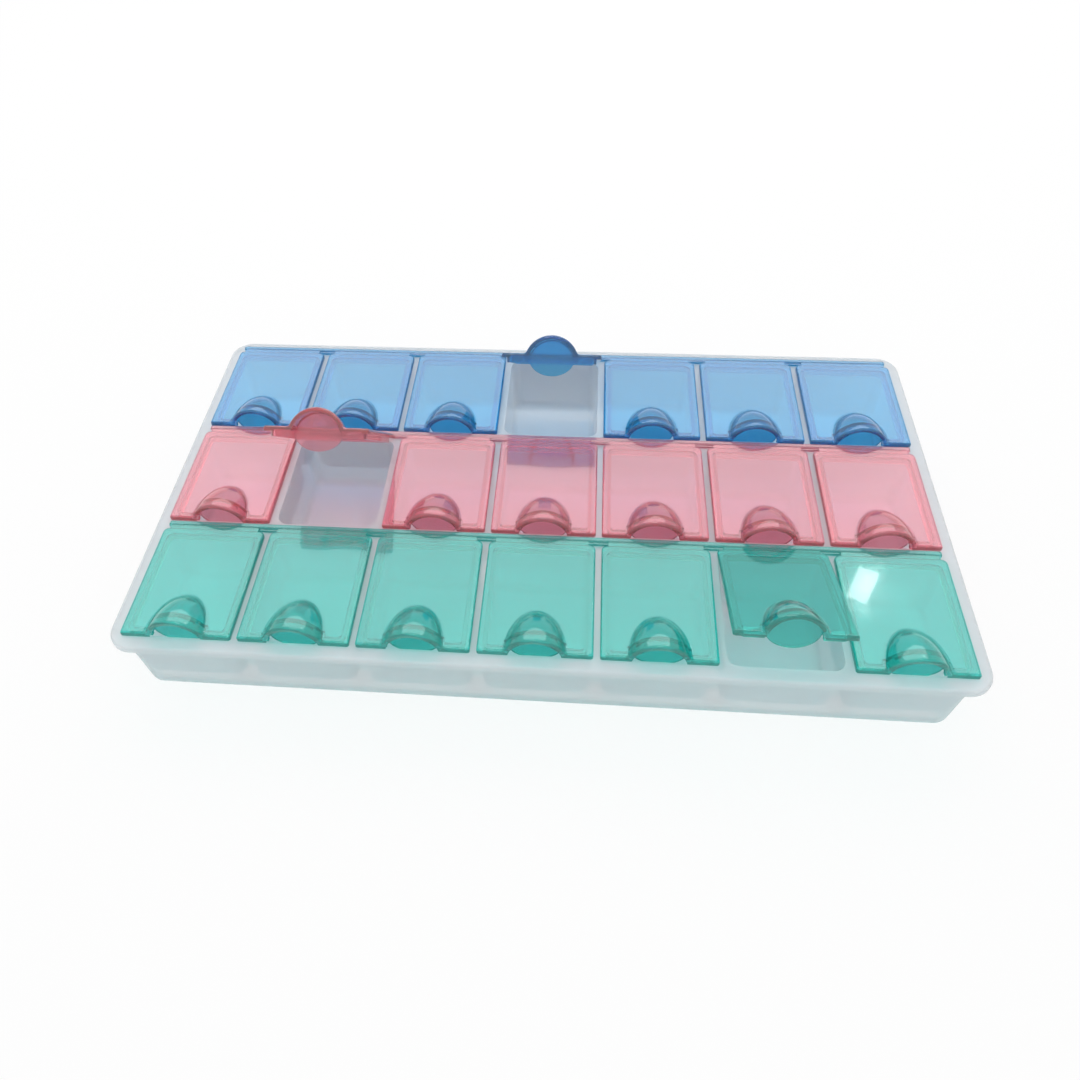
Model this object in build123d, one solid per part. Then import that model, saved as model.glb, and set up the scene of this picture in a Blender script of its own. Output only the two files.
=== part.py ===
"""Bead organizer with a lid of its own for each of its twenty-one cells.

A frosted tray holds three rows of seven cells. Each row is closed by seven
coloured flip lids that hinge on one rail, and the rail's tongue sits in a slot
of the tray. Millimetres. The origin is the middle of the tray's underside,
+X runs along a row, +Y from front to back and +Z up.
"""

from build123d import *
import math
import os

# ---------------------------------------------------------------- layout
columns = 7
row_colours = ("green", "pink", "blue")     # front to back
pitch_x = 31.0                              # one lid to the next in a row
lid_gap = 1.6                               # bare tray between two lids of a row
row_gap = 0.8                               # bare tray between a rail and the next row
side_margin = 3.5                           # flange outside the outer lids
front_margin = 3.8
back_margin = 3.2

# ---------------------------------------------------------------- lid plate
plate_length = 36.0
plate_thickness = 1.4
plate_front_radius = 0.7
plate_back_radius = 1.6
plate_edge_round = 0.7                      # on the top edge and on the hood's front arch
panel_thickness = 0.9                       # inside the border band
skirt_inset = 1.4                           # plate edge to the plug skirt
skirt_thickness = 1.0
skirt_depth = 1.4
skirt_radius = 2.0
seat_clearance = 0.02                       # closed plate above the tray's top

# ---------------------------------------------------------------- finger hood
hood_rise = 5.4                             # front arch above the plate
hood_half_width = 7.65                      # front arch at the plate's top
hood_run = 13.4                             # length of the bullet shape
hood_shell = 1.2
hood_foot_round = 1.2                       # hollow round where the hood leaves the plate
tab_setback = 2.9                           # plate's front edge to the closing tab
tab_thickness = 1.0
tab_half_width = 6.8
tab_drop = 5.2                              # below the plate
cheek_thickness = 1.1                       # joins the skirt to the closing tab

# ---------------------------------------------------------------- hinge
film_gap = 0.6                              # plate to rail
film_thickness = 0.6
film_side_inset = 1.9                       # the film stops short of the plate's corners
axis_inset = 0.3                            # hinge axis behind the rail's front face
hinge_clearance = 0.06
fold_back = 150.0                           # degrees, the widest that a rail lets its lids open
rail_width = 2.4
rail_end_inset = 0.9                        # rail stops short of the outer lids' edges
rail_end_radius = 0.9
rail_back_round = 0.5
tongue_width = 1.0
tongue_depth = 2.4
tongue_end_inset = 4.0
slot_clearance = 0.03

# ---------------------------------------------------------------- tray
tray_height = 23.0
flange_thickness = 2.0
flange_overhang = 2.4
flange_corner_radius = 6.5
flange_edge_round = 0.8
wall_corner_radius = 5.0
wall_draft = 3.0                            # degrees, outside
base_round = 2.4
foot_width = 5.0                            # ring that the tray stands on
foot_height = 0.5
cell_depth = 19.0
cell_draft = 1.5                            # degrees, inside
cell_corner_cut = 1.9                       # flat across each upright corner of a cell
mouth_overlap = 0.3                         # lid plate beyond the cell's mouth
cut_past = 1.0                              # how far a cell's cutting form reaches past the top
level_band = 0.001                          # edges this near to a height count as lying at it

# ---------------------------------------------------------------- lids as opened, degrees
opened = {("blue", 4): 40.0, ("pink", 2): 46.0, ("green", 6): 18.0}

# ---------------------------------------------------------------- worked out
lid_width = pitch_x - lid_gap
pitch_y = plate_length + film_gap + rail_width + row_gap
tray_length = columns * pitch_x - lid_gap + 2 * side_margin
tray_depth = len(row_colours) * pitch_y - row_gap + front_margin + back_margin
axis_to_plate = film_gap + axis_inset       # hinge axis back from the plate
axis_to_front = plate_length + axis_to_plate
plate_top = film_thickness / 2              # the lid's own frame has its hinge axis at 0, 0
plate_bottom = plate_top - plate_thickness
axis_height = tray_height + seat_clearance - plate_bottom
rail_length = columns * pitch_x - lid_gap - 2 * rail_end_inset
rail_bottom = tray_height - axis_height     # in the hinge's frame
rail_front = -axis_inset
rail_back = rail_front + rail_width
rail_middle = (rail_front + rail_back) / 2
tongue_length = rail_length - 2 * tongue_end_inset
cell_width = lid_width - 2 * mouth_overlap
cell_length = plate_length - 2 * mouth_overlap


def column_x(column):
    """Middle of a column, counted from 1 at the left."""
    return (column - (columns + 1) / 2) * pitch_x


def row_front_y(row):
    """Front edge of the lids of a row, counted from 0 at the front."""
    return -tray_depth / 2 + front_margin + row * pitch_y


def hinge_y(row):
    return row_front_y(row) + axis_to_front


def edges_at(solid, level):
    """Edges of a solid whose middles lie at one height."""
    return solid.edges().filter_by_position(Axis.Z, level - level_band, level + level_band)


# ================================================================ tray
def drafted_box(length, depth, height, draft):
    """A box that stands on the origin, its four sides leaning out by the draft as they rise."""
    lean = height * math.tan(math.radians(draft))
    top = (length + 2 * lean, depth + 2 * lean)
    box = Wedge(top[0], height, top[1], lean, lean, lean + length, lean + depth)
    return Pos(0, 0, height / 2) * Rot(-90, 0, 0) * box


def tray_shell():
    """Flange on a drafted body with rounded foot edge, before the cells are cut."""
    outline = RectangleRounded(tray_length, tray_depth, flange_corner_radius)
    flange = extrude(outline, flange_thickness)
    flange = fillet(flange.edges().group_by(Axis.Z)[-1], flange_edge_round)
    flange = Pos(0, 0, tray_height - flange_thickness) * flange
    body_height = tray_height - flange_thickness / 2
    base_inset = flange_overhang + body_height * math.tan(math.radians(wall_draft))
    body = drafted_box(
        tray_length - 2 * base_inset, tray_depth - 2 * base_inset, body_height, wall_draft
    )
    body = fillet(body.edges().group_by(Axis.Z)[1], wall_corner_radius)
    body = fillet(body.edges().group_by(Axis.Z)[0], base_round)
    foot_inset = base_inset + base_round + foot_width
    hollow = RectangleRounded(
        tray_length - 2 * foot_inset, tray_depth - 2 * foot_inset, wall_corner_radius
    )
    return flange + body - extrude(hollow, foot_height)


def cell_space():
    """Room of one cell from its floor to past the tray's top: drafted, with its corners cut."""
    narrowing = 2 * cell_depth * math.tan(math.radians(cell_draft))
    space = drafted_box(
        cell_width - narrowing, cell_length - narrowing, cell_depth + cut_past, cell_draft
    )
    space = chamfer(space.edges().group_by(Axis.Z)[1], cell_corner_cut)
    return Pos(0, 0, tray_height - cell_depth) * space


def tray():
    solid = tray_shell()
    space = cell_space()
    middle = row_front_y(0) + plate_length / 2
    cells = []
    for row in range(len(row_colours)):
        for column in range(1, columns + 1):
            cells.append(Pos(column_x(column), middle + row * pitch_y, 0) * space)
    solid = solid - cells
    for row in range(len(row_colours)):
        slot = Box(
            tongue_length + 2 * slot_clearance,
            tongue_width + 2 * slot_clearance,
            tongue_depth + slot_clearance,
            align=(Align.CENTER, Align.CENTER, Align.MAX),
        )
        solid = solid - Pos(0, hinge_y(row) + rail_middle, tray_height) * slot
    return solid


# ================================================================ hinge rail
def hinge_rail():
    """Bar with a round seat for the film's bead along its front, and a tongue below.

    Behind the seat a ramp rises to the rail's top, where the film lies when a lid
    is folded right back.
    """
    seat = film_thickness / 2 + hinge_clearance
    ramp = math.radians(180 - fold_back)
    ramp_foot = (seat * math.sin(ramp), -seat * math.cos(ramp))
    outline = make_face(
        [
            Polyline((rail_front, rail_bottom), (rail_front, -seat), (0, -seat)),
            CenterArc((0, 0), seat, -90, 180 - fold_back),
            Polyline(ramp_foot, (seat / math.sin(ramp), 0), (rail_back - rail_back_round, 0)),
            CenterArc((rail_back - rail_back_round, -rail_back_round), rail_back_round, 0, 90),
            Polyline(
                (rail_back, -rail_back_round), (rail_back, rail_bottom), (rail_front, rail_bottom)
            ),
        ]
    )
    bar = extrude(Plane.YZ * outline, rail_length / 2, both=True)
    plan = RectangleRounded(rail_length, rail_width, rail_end_radius)
    bar = bar & Pos(0, rail_middle, rail_bottom) * extrude(plan, plate_thickness + film_thickness)
    tongue = Box(
        tongue_length, tongue_width, tongue_depth, align=(Align.CENTER, Align.CENTER, Align.MAX)
    )
    return bar + Pos(0, rail_middle, rail_bottom) * tongue


# ================================================================ lid
def plate_outline(inset, front_radius, back_radius):
    """The plate's outline, inset all round, with its middle at the plate's middle."""
    outline = Rectangle(lid_width - 2 * inset, plate_length - 2 * inset)
    outline = fillet(outline.vertices().group_by(Axis.Y)[0], front_radius)
    outline = fillet(outline.vertices().group_by(Axis.Y)[-1], back_radius)
    return outline


def bullet(inset):
    """Back half of the hood's long round form, a stretched ball, inset by a wall."""
    arch_radius = (hood_half_width**2 + hood_rise**2) / (2 * hood_rise)
    radius = arch_radius - inset
    ball = scale(Sphere(radius), by=(1, (hood_run - inset) / radius, 1))
    half = Box(4 * radius, 2 * hood_run, 4 * radius, align=(Align.CENTER, Align.MIN, Align.CENTER))
    return Pos(0, -axis_to_front, plate_top + hood_rise - arch_radius) * (ball & half)


def headroom():
    """The space above the plate's underside, to trim the hood's form with."""
    space = Box(
        lid_width, 4 * plate_length, 4 * hood_rise, align=(Align.CENTER, Align.CENTER, Align.MIN)
    )
    return Pos(0, 0, plate_bottom) * space


def hooded_plate():
    """Plate and hood as one, with a hollow round between them and rounded edges."""
    plate = extrude(plate_outline(0, plate_front_radius, plate_back_radius), plate_thickness)
    plate = Pos(0, -axis_to_plate - plate_length / 2, plate_bottom) * plate
    solid = plate + (bullet(0) & headroom())
    foot = [edge for edge in edges_at(solid, plate_top) if edge.geom_type == GeomType.BSPLINE]
    solid = fillet(foot, hood_foot_round)
    front = solid.faces().sort_by(Axis.Y)[0]
    arch = [edge for edge in front.edges() if edge.center().Z > plate_top - plate_thickness / 2]
    rest = [
        edge
        for edge in edges_at(solid, plate_top)
        if edge.geom_type != GeomType.BSPLINE
        and edge.center().Y > -axis_to_front + plate_edge_round / 4
    ]
    return fillet(arch + rest, plate_edge_round)


def lid():
    """One flip lid, closed, in its hinge's frame: the axis is X through the origin."""
    middle = -axis_to_plate - plate_length / 2
    front = -axis_to_front

    skirt = extrude(
        plate_outline(skirt_inset, skirt_radius, skirt_radius), plate_thickness / 2 + skirt_depth
    )
    skirt = Pos(0, middle, plate_bottom - skirt_depth) * skirt
    inner_radius = skirt_radius - skirt_thickness
    hollow = extrude(
        plate_outline(skirt_inset + skirt_thickness, inner_radius, inner_radius),
        skirt_depth + plate_thickness - panel_thickness,
    )
    hollow = Pos(0, middle, plate_bottom - skirt_depth) * hollow

    tab_slice = Pos(0, front + tab_setback, 0) * Box(
        lid_width, tab_thickness, 8 * hood_rise, align=(Align.CENTER, Align.MIN, Align.CENTER)
    )
    tab_lobe = Pos(0, front + tab_setback, plate_bottom) * extrude(
        Plane.XZ * Ellipse(tab_half_width, tab_drop), -tab_thickness
    )
    tab = (bullet(0) & headroom() & tab_slice) + (tab_lobe - headroom())

    cheek = Box(
        cheek_thickness,
        tab_setback + tab_thickness - skirt_inset,
        skirt_depth,
        align=(Align.MIN, Align.MIN, Align.MAX),
    )
    cheek = Pos(tab_half_width, front + skirt_inset, plate_top - panel_thickness) * cheek
    cheeks = cheek + mirror(cheek, Plane.YZ)
    finger_gap = Pos(0, front, plate_bottom) * Box(
        2 * tab_half_width, tab_setback, 2 * skirt_depth, align=(Align.CENTER, Align.MIN, Align.MAX)
    )

    film_width = lid_width - 2 * film_side_inset
    film = Box(
        film_width,
        axis_to_plate + plate_edge_round,
        film_thickness,
        align=(Align.CENTER, Align.MAX, Align.CENTER),
    )
    bead = Rot(0, 90, 0) * Cylinder(film_thickness / 2, film_width)

    solid = hooded_plate() + skirt - hollow + cheeks - bullet(hood_shell) - finger_gap + tab
    return solid + film + bead


# ================================================================ assembly
def placed_lid(shape, row, column):
    """A lid on its hinge, turned open as far as it stands open at rest."""
    angle = opened.get((row_colours[row], column), 0.0)
    return Pos(column_x(column), hinge_y(row), axis_height) * Rot(-angle, 0, 0) * shape


os.makedirs("parts", exist_ok=True)
export_step(tray(), "parts/tray.step")
rail_shape = hinge_rail()
lid_shape = lid()
for row, colour in enumerate(row_colours):
    rail = Pos(0, hinge_y(row), axis_height) * rail_shape
    export_step(rail, f"parts/{colour}_hinge_rail.step")
    for column in range(1, columns + 1):
        export_step(placed_lid(lid_shape, row, column), f"parts/{colour}_lid_{column}.step")
print("tray", tray_length, tray_depth, tray_height, "pitch", pitch_x, pitch_y)
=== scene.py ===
# %% [markdown]
# # A bead organizer with a lid of its own for each of its twenty-one cells
#
# The object is a flat tray of frosted, almost colourless plastic with three rows of
# seven cells. Each row has its own colour of clear, glossy lids: green in front, pink
# in the middle and blue at the back. All lids of a row hang on one rail by thin films.
# The shapes and sizes come from the CAD frame, so this lesson is about making the
# surfaces read as real moulded plastic: light that passes through thin walls, thick
# edges that look stronger in colour, and small rounded edges that catch the light.
#
# The first cell loads the frame.

import bpy
import bmesh
import math
from mathutils import Matrix, Vector


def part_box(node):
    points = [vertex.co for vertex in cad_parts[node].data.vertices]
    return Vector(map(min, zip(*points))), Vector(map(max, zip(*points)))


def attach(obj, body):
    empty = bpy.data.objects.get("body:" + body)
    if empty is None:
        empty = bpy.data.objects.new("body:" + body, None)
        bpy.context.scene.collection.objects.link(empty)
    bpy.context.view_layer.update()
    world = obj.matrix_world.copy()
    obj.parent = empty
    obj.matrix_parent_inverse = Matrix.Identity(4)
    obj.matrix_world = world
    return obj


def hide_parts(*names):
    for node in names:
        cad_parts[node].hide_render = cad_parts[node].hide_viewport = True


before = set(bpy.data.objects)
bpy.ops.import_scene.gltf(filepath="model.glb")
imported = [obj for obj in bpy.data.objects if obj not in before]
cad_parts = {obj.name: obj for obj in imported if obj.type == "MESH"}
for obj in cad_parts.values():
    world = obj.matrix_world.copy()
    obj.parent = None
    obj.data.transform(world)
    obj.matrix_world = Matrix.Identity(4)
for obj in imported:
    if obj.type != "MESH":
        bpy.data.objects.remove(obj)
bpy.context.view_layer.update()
row_colours = ("green", "pink", "blue")     # front to back
columns = 7
mm = 0.001
plastic_ior = 1.49                          # polypropylene

# %% [markdown]
# ## The camera
#
# The view is a close one, from above and slightly to the right of the middle, so the
# near lids look clearly larger than the far ones. A camera can be aimed with a
# Track To constraint, but its roll and place are then hard to set apart. Here three
# angles give the view's axes, and the camera's matrix is built from them.

# %% Camera
azimuth, elevation, roll = (math.radians(angle) for angle in (7.011, 48.216, -3.056))
camera_place = Vector((9.53, -182.3, 217.4)) * mm
view_back = Vector((
    math.sin(azimuth) * math.cos(elevation),
    -math.cos(azimuth) * math.cos(elevation),
    math.sin(elevation),
))
level_right = Vector((0, 0, 1)).cross(view_back).normalized()
level_up = view_back.cross(level_right)
view_right = math.cos(roll) * level_right + math.sin(roll) * level_up
view_up = -math.sin(roll) * level_right + math.cos(roll) * level_up

camera = bpy.data.objects.new("camera", bpy.data.cameras.new("camera"))
bpy.context.collection.objects.link(camera)
camera.matrix_world = (
    Matrix.Translation(camera_place)
    @ Matrix((view_right, view_up, view_back)).transposed().to_4x4()
)
camera.data.lens = 30.28
camera.data.sensor_width = 36.0
camera.data.shift_x = 0.0333
camera.data.shift_y = -0.0291
camera.data.clip_start = 0.01
bpy.context.scene.camera = camera
print("camera at", [round(v, 4) for v in camera.matrix_world.translation])

# %% [markdown]
# ## Shader maths as Python
#
# A material is a tree of nodes, and even a small formula takes several Math nodes.
# Wiring them by hand hides the formula. A small class can hold one output socket and
# overload Python's operators, so that `0.1 + 0.05 * noise` adds the nodes by itself.

# %% Sockets with arithmetic
class Signal:
    """One output socket of a shader node. Arithmetic on it adds Math nodes."""

    def __init__(self, bench, socket):
        self.bench = bench
        self.socket = socket

    def __add__(self, other):
        return self.bench.maths("ADD", self, other)

    __radd__ = __add__

    def __mul__(self, other):
        return self.bench.maths("MULTIPLY", self, other)

    __rmul__ = __mul__


print("signals add their own Math nodes")

# %% [markdown]
# ## A bench for each node tree
#
# Every other node comes from one method, which takes the node's settings and what goes
# into its sockets, either a value or a signal. Helpers for noise, bump, colour mixes and
# the kind of ray stand on it, so each material below reads like a short recipe.
#
# `seen` serves the white paper and room. It tells whether the eye looks at a surface
# directly, and gives a smaller value where it sees it in a reflection or through plastic.

# %% A bench for each node tree
class Bench:
    """Adds nodes to one tree, a material's or the world's."""

    def __init__(self, tree):
        self.tree = tree
        self.tree.nodes.clear()

    def node(self, kind, settings=None, sockets=None, output=0):
        """Adds a node, sets it up, fills or links its sockets and returns one output."""
        made = self.tree.nodes.new(kind)
        for setting, value in (settings or {}).items():
            setattr(made, setting, value)
        for socket, value in (sockets or {}).items():
            if isinstance(value, Signal):
                self.tree.links.new(value.socket, made.inputs[socket])
            else:
                made.inputs[socket].default_value = value
        return Signal(self, made.outputs[output]) if made.outputs else made

    def maths(self, operation, first, second):
        return self.node("ShaderNodeMath", {"operation": operation}, {0: first, 1: second})

    def noise(self, scale, detail=2.0):
        """Soft random cells across the piece, 0 to 1; scale is in cells per metre."""
        place = self.node("ShaderNodeTexCoord", output="Object")
        return self.node(
            "ShaderNodeTexNoise", sockets={"Vector": place, "Scale": scale, "Detail": detail}
        )

    def bump(self, height, distance):
        return self.node("ShaderNodeBump", sockets={"Height": height, "Distance": distance})

    def blend(self, factor, first, second):
        """Mixes two colours by a factor."""
        return self.node(
            "ShaderNodeMix", {"data_type": "RGBA"}, {0: factor, 6: first, 7: second}, output=2
        )

    def ray(self, kind):
        """1 on rays of one kind: Camera, Shadow, Diffuse, Glossy or Transmission."""
        return self.node("ShaderNodeLightPath", output=f"Is {kind} Ray")

    def seen(self, in_plastic):
        """1 where the eye sees the surface directly, in_plastic in or through a plastic."""
        indirect = self.maths("MAXIMUM", self.ray("Glossy"), self.ray("Transmission"))
        return self.ray("Camera") + in_plastic * indirect


def material_bench(name):
    material = bpy.data.materials.new(name)
    material.use_nodes = True
    return material, Bench(material.node_tree)


print("bench ready")

# %% [markdown]
# ## Clear coloured plastic
#
# The lids are dyed clear plastic, about a millimetre thick, with a satin haze inside
# and a glossy skin. Plain glass would be too clean, and a half-transparent diffuse
# shader would lose the way thick places look deeper in colour. So the Principled
# shader lets most light through with a little blur, and a Volume Absorption darkens
# it along its path: rails, rims and the foot of each hood, which the eye looks through
# lengthwise, come out stronger than the flat panels by themselves. A thin coat gives the
# sharp gloss on top of the blur.
#
# Lamps can't shine through a refracting surface without caustics, so for shadow rays
# the surface turns into a tinted Transparent one. That keeps the cells below bright
# and lets their colour come from the lid. Slow noise in the roughness and a very low
# wave in the surface stand for flow marks, which break up long reflections.

# %% Clear coloured plastic
clear_share = 0.86                          # of the light that passes without being scattered
haze_roughness = 0.07
flow_roughness = 0.06
flow_cells, wave_cells, grain_cells = 28.0, 70.0, 1400.0        # per metre
grain_share = 0.006                         # of the slow waves' height
flow_wave = 0.14 * mm                       # height of the slow waves in a panel
absorbing_density = 430.0                   # per metre, for a channel that is fully absorbed


def clear_plastic(name, dye, deeper_dye, lamp_tint, path_tint):
    """Two dyes for the surface, one tint for lamps' light and one for depth."""
    material, bench = material_bench(name)
    flow = bench.noise(flow_cells, 3.0)
    wave = bench.noise(wave_cells, 1.0)
    grain = bench.noise(grain_cells)
    plastic = bench.node(
        "ShaderNodeBsdfPrincipled",
        sockets={
            "Base Color": bench.blend(flow, dye, deeper_dye),
            "Roughness": haze_roughness + flow_roughness * flow,
            "IOR": plastic_ior,
            "Transmission Weight": clear_share,
            "Normal": bench.bump(wave + grain_share * grain, flow_wave),
            "Coat Weight": 0.6,
            "Coat Roughness": 0.02,
        },
    )
    lit_through = bench.node("ShaderNodeBsdfTransparent", sockets={"Color": lamp_tint})
    surface = bench.node(
        "ShaderNodeMixShader", sockets={0: bench.ray("Shadow"), 1: plastic, 2: lit_through}
    )
    depth = bench.node(
        "ShaderNodeVolumeAbsorption", sockets={"Color": path_tint, "Density": absorbing_density}
    )
    bench.node("ShaderNodeOutputMaterial", sockets={"Surface": surface, "Volume": depth})
    return material


print("a lid's haze runs from", haze_roughness, "to", haze_roughness + flow_roughness)

# %% [markdown]
# ## Three dyes
#
# Each row has its own dye. The surface takes only part of the colour and the depth takes
# the rest, so a thin tab stays pale and a rim turns strong. The tint of the lamps' light
# is what a cell's floor receives through a closed lid.

# %% The three lid plastics
plastics = {
    "green": clear_plastic(
        "green_clear_plastic",
        dye=(0.10, 0.76, 0.70, 1), deeper_dye=(0.07, 0.71, 0.65, 1),
        lamp_tint=(0.66, 0.98, 0.96, 1), path_tint=(0.05, 0.93, 0.90, 1),
    ),
    "pink": clear_plastic(
        "pink_clear_plastic",
        dye=(0.97, 0.59, 0.66, 1), deeper_dye=(0.96, 0.54, 0.62, 1),
        lamp_tint=(0.99, 0.84, 0.88, 1), path_tint=(0.98, 0.35, 0.45, 1),
    ),
    "blue": clear_plastic(
        "blue_clear_plastic",
        dye=(0.14, 0.62, 0.85, 1), deeper_dye=(0.11, 0.58, 0.82, 1),
        lamp_tint=(0.72, 0.89, 0.98, 1), path_tint=(0.10, 0.62, 0.93, 1),
    ),
}
print("lid plastics", sorted(plastics))

# %% [markdown]
# ## Frosted plastic of the tray
#
# The tray is undyed polypropylene. Light spreads inside its walls, so it looks milky,
# and the dividers show as paler stripes through the front wall. Subsurface scattering
# gives the milk, and an Alpha below one lets part of what lies behind a wall through.
# A fine grain in the normal gives the satin outside, and slow noise keeps the
# roughness from being the same everywhere.
#
# Walls this thin pass most of the room's light on to the cells. A scattering surface
# alone would leave the cells dark, so for shadow and diffuse rays the shader is mostly
# a Transparent one.

# %% Frosted plastic
lamp_share = 0.93                           # of the room's light that shines straight through
milk_cover = 0.66                           # share of what lies behind that a wall hides
cloud_cells, satin_cells = 22.0, 2600.0     # per metre
satin_height = 0.02 * mm
milk_depth = 3.0 * mm


def frosted_plastic():
    material, bench = material_bench("frosted_plastic")
    cloud = bench.noise(cloud_cells, 3.0)
    satin = bench.noise(satin_cells, 3.0)
    milk = bench.node(
        "ShaderNodeBsdfPrincipled",
        sockets={
            "Base Color": bench.blend(cloud, (0.66, 0.69, 0.71, 1), (0.62, 0.66, 0.69, 1)),
            "Roughness": 0.40 + 0.12 * cloud,
            "IOR": plastic_ior,
            "Specular IOR Level": 0.3,
            "Alpha": milk_cover,
            "Subsurface Weight": 1.0,
            "Subsurface Radius": (1.0, 1.1, 1.15),
            "Subsurface Scale": milk_depth,
            "Normal": bench.bump(satin, satin_height),
        },
    )
    clear = bench.node("ShaderNodeBsdfTransparent", sockets={"Color": (0.97, 0.99, 1.0, 1)})
    spread = bench.maths("MAXIMUM", bench.ray("Shadow"), bench.ray("Diffuse"))
    surface = bench.node(
        "ShaderNodeMixShader", sockets={0: lamp_share * spread, 1: milk, 2: clear}
    )
    bench.node("ShaderNodeOutputMaterial", sockets={"Surface": surface})
    return material


tray_plastic = frosted_plastic()
print("tray plastic", tray_plastic.name)

# %% [markdown]
# ## Moulded pieces from the frame's nodes
#
# A CAD node's mesh is loose triangles with flat faces. To shade it like a moulding, a
# copy is joined into one skin, its flat faces are made whole again, and its normals
# are smoothed up to the sharp edges. The copy then stands for its node.

# %% Join a node's triangles
weld_distance = 0.002 * mm
flat_within = math.radians(0.4)


def welded(node):
    """A copy of a node's mesh with its loose triangles joined and flat faces made whole."""
    shape = bmesh.new()
    shape.from_mesh(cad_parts[node].data)
    bmesh.ops.remove_doubles(shape, verts=shape.verts, dist=weld_distance)
    bmesh.ops.dissolve_limit(shape, angle_limit=flat_within, verts=shape.verts, edges=shape.edges)
    return shape


print("vertices closer than", weld_distance, "m are joined")

# %% [markdown]
# ## From a shape to the piece that stands for its node
#
# Two modifiers finish a moulding. A small Bevel takes the knife edge off where the CAD
# has none of its own rounds, and Weighted Normal keeps large faces flat beside rounds.

# %% Turn a shape into the piece that stands for its node
sharp_from = math.radians(40)


def moulded(shape, node, body, material, edge=0.0):
    """Makes the piece, rounds its sharp edges by edge and hangs it on its body."""
    mesh = bpy.data.meshes.new(f"{node}_moulding")
    shape.to_mesh(mesh)
    shape.free()
    mesh.materials.append(material)
    piece = bpy.data.objects.new(f"{node}_moulding", mesh)
    bpy.context.collection.objects.link(piece)
    if edge:
        softened = piece.modifiers.new("softened_edges", "BEVEL")
        softened.width = edge
        softened.segments = 2
        softened.limit_method = "ANGLE"
        softened.angle_limit = sharp_from
    mesh.shade_smooth()
    mesh.set_sharp_from_angle(angle=sharp_from)
    even = piece.modifiers.new("even_shading", "WEIGHTED_NORMAL")
    even.keep_sharp = True
    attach(piece, body)
    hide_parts(node)


print("edges are sharp from", round(math.degrees(sharp_from)), "degrees")

# %% [markdown]
# ## The tray
#
# The CAD cells have cut corners and meet their floors at a sharp line. In the real
# moulding both are round, so that beads slide out. The edges to round are picked by
# what they are: upright edges between a wall and a corner's flat, then the outline of
# each floor.

# %% Pick edges by height and angle
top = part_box("tray")[1][2]
cell_depth = 19.0 * mm
floor_level = top - cell_depth
near = 0.02 * mm
flat_turn = (40, 50)                        # degrees from a wall to a corner's flat
floor_turn = 60                             # degrees at least from a floor to a wall


def turn(edge):
    """Angle between an edge's two faces, in degrees, or 0 at a loose edge."""
    return math.degrees(edge.calc_face_angle(0)) if len(edge.link_faces) == 2 else 0.0


def lies_at(edge, level):
    return all(abs(vert.co.z - level) < near for vert in edge.verts)


def stands(edge):
    """True for an upright edge that runs from a cell's floor to the top."""
    low, high = sorted(vert.co.z for vert in edge.verts)
    return abs(low - floor_level) < near and abs(high - top) < near


def rounded(shape, edges, offset, segments):
    """Rounds edges; offset is the distance from an edge to where its round begins."""
    bmesh.ops.bevel(
        shape, geom=edges, offset=offset, offset_type="OFFSET", segments=segments,
        profile=0.5, affect="EDGES", material=-1, clamp_overlap=False,
    )


print("cells run from", round(floor_level, 4), "to", round(top, 4))

# %% [markdown]
# ## Rounding the cells
#
# Bevelling the uprights first gives the outline of each floor its round corners. The top
# of the tray is one face with twenty-one holes, and a later bevel could fold a face with
# so many corners over itself, so wide faces are cut into triangles in between.

# %% Round the cells
corner_tangent = 1.1 * mm                   # leaves a short flat between two arcs
floor_round = 2.2 * mm
wide_outline = 24                           # corners of a face that is cut into triangles
tray_shape = welded("tray")
uprights = [
    edge for edge in tray_shape.edges
    if stands(edge) and flat_turn[0] < turn(edge) < flat_turn[1]
]
rounded(tray_shape, uprights, corner_tangent, 3)
outlines = [
    edge for edge in tray_shape.edges
    if lies_at(edge, floor_level) and turn(edge) > floor_turn
]
rounded(tray_shape, outlines, floor_round, 5)
wide = [face for face in tray_shape.faces if len(face.verts) > wide_outline]
bmesh.ops.triangulate(tray_shape, faces=wide)
moulded(tray_shape, "tray", "tray", tray_plastic, edge=0.3 * mm)
print("uprights", len(uprights), "floor edges", len(outlines))

# %% [markdown]
# ## Rails and lids
#
# Rails and lids already have their rounds from CAD, so they only need the join and the
# shading. A lid rides on its own body; a rail stays with the tray.

# %% Rails and lids
for colour in row_colours:
    rail = f"{colour}_hinge_rail"
    moulded(welded(rail), rail, "tray", plastics[colour])
    for column in range(1, columns + 1):
        lid = f"{colour}_lid_{column}"
        moulded(welded(lid), lid, lid, plastics[colour])
print("rails", len(row_colours), "lids", len(row_colours) * columns)

# %% [markdown]
# ## Floor
#
# The tray stands on white paper in a white room. Paper that is only lit would come out
# grey, and more light would wash out the plastics, so what the eye sees of the paper is
# mixed with plain white. The rest of the paper's shader still takes the object's shadow.

# %% Floor
floor_half = 3.0
paper_glow = 0.84                           # share of plain white in the paper that the eye sees
paper_in_plastic = 0.6
floor_shape = bmesh.new()
bmesh.ops.create_grid(floor_shape, x_segments=1, y_segments=1, size=floor_half)
floor_mesh = bpy.data.meshes.new("floor")
floor_shape.to_mesh(floor_mesh)
floor_shape.free()
floor = bpy.data.objects.new("floor", floor_mesh)
bpy.context.collection.objects.link(floor)

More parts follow.
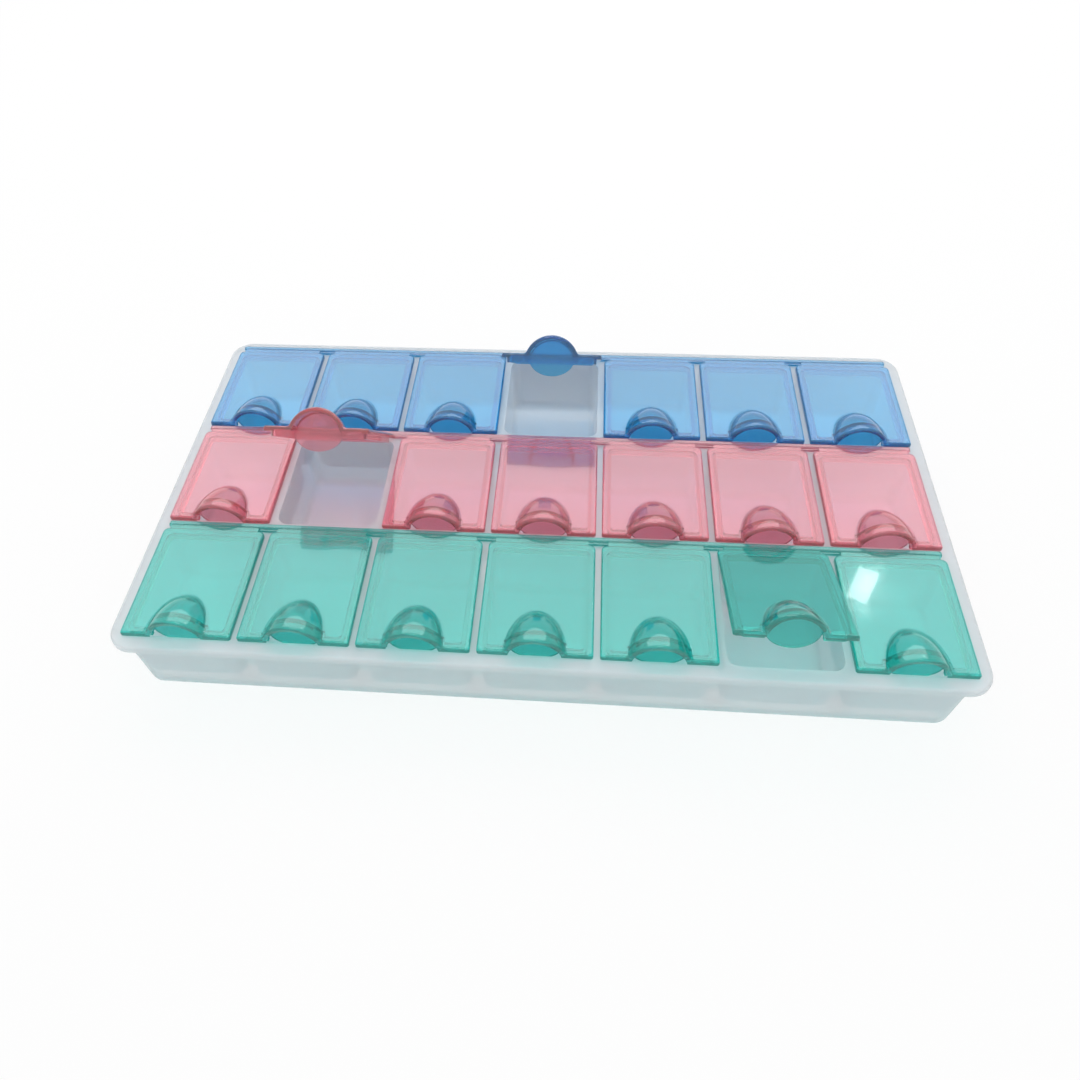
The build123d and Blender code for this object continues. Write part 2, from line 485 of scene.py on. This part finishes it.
paper, bench = material_bench("white_paper")
lit = bench.node("ShaderNodeBsdfDiffuse", sockets={"Color": (0.9, 0.9, 0.9, 1)})
white = bench.node("ShaderNodeEmission", sockets={"Color": (1, 1, 1, 1), "Strength": 1.0})
surface = bench.node(
    "ShaderNodeMixShader", sockets={0: paper_glow * bench.seen(paper_in_plastic), 1: lit, 2: white}
)
bench.node("ShaderNodeOutputMaterial", sockets={"Surface": surface})
floor_mesh.materials.append(paper)
print("floor", tuple(floor.dimensions))

# %% [markdown]
# ## The room
#
# The room is plain white where the eye sees it. What it gives to surfaces as light is
# less, so that the lamps below can still draw the forms.

# %% Room
room_light = 0.72
room_in_plastic = 0.4
world = bpy.data.worlds.new("white_room")
bpy.context.scene.world = world
world.use_nodes = True
bench = Bench(world.node_tree)
walls = bench.node(
    "ShaderNodeBackground",
    sockets={
        "Color": (1, 1, 1, 1),
        "Strength": room_light + (1.0 - room_light) * bench.seen(room_in_plastic),
    },
)
bench.node("ShaderNodeOutputWorld", sockets={"Surface": walls})
print("room light", room_light)

# %% [markdown]
# ## Lamps
#
# A flat lid mirrors the part of the room that lies behind the tray, as high as the
# camera is. A wide, soft panel stands there: it lays a pale veil on the closed lids,
# while a lid that is tilted open mirrors a lower, darker part and keeps its full
# colour. A small lamp behind on the right gives the white patch on the nearest corner
# lid, and a soft one overhead lights the cells.

# %% Lamps
def lamp(name, place, target, size, power):
    light = bpy.data.lights.new(name, "AREA")
    light.shape = "RECTANGLE"
    light.size, light.size_y = size
    light.energy = power
    holder = bpy.data.objects.new(name, light)
    bpy.context.collection.objects.link(holder)
    turned = (Vector(target) - Vector(place)).to_track_quat("-Z", "Y").to_matrix().to_4x4()
    holder.matrix_world = Matrix.Translation(Vector(place)) @ turned
    print(name, power, "W")


lamp("back_panel", (-0.03, 0.62, 0.74), (0.0, 0.0, 0.02), (1.2, 0.48), 3.4)
lamp("overhead", (-0.04, -0.12, 0.95), (0.0, 0.0, 0.0), (0.40, 0.35), 1.2)
lamp("window", (0.322, 0.443, 0.64), (0.085, -0.038, 0.02), (0.022, 0.036), 0.03)
bpy.context.scene.view_settings.view_transform = "Standard"
